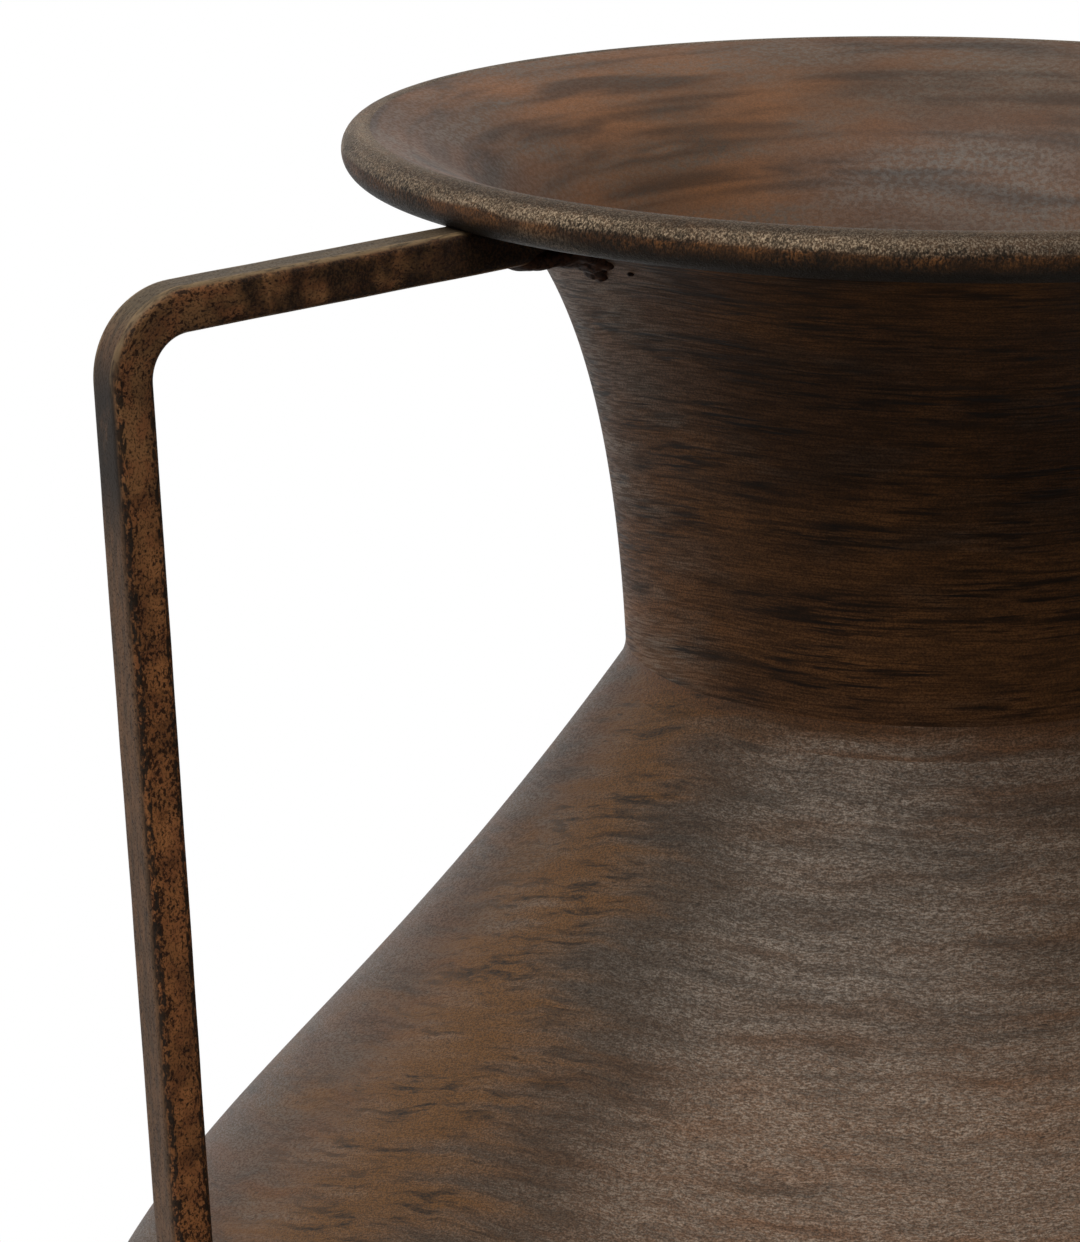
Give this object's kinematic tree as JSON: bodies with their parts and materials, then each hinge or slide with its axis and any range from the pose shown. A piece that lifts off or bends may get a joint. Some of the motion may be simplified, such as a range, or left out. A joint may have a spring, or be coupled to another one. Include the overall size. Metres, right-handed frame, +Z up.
{
  "type": "jug vase",
  "caption": "Jug vase of brushed brown iron: trumpet neck with a rolled lip, sloping shoulder, rounded body on a flat base and a bent square-bar handle.",
  "frame": {"origin": "centre of the base plate's underside, on the axis of the vase", "axes": "+Z up along the axis of the vase, towards the mouth; the handle stands on the -X side, in the plane Y = 0"},
  "size_m": [0.27, 0.27, 0.35],
  "materials": {
    "brushed_patina": "satin, dry-brushed dark brown over rust brown",
    "speckled_patina": "satin, dark speckle over rust brown",
    "dark_weld": "lumpy weld metal under dark brown patina",
    "bare_wire": "plain drawn wire, hidden in the lip"
  },
  "bodies": {
    "root": {"neck": "brushed_patina", "lip_wire": "bare_wire", "neck_seam_weld": "brushed_patina", "shoulder": "brushed_patina", "belly_seam_weld": "brushed_patina", "lower_body": "brushed_patina", "base_plate": "brushed_patina", "base_seam_weld": "brushed_patina", "handle": "speckled_patina", "handle_upper_weld": "dark_weld", "handle_lower_weld": "dark_weld"}
  },
  "joints": []
}
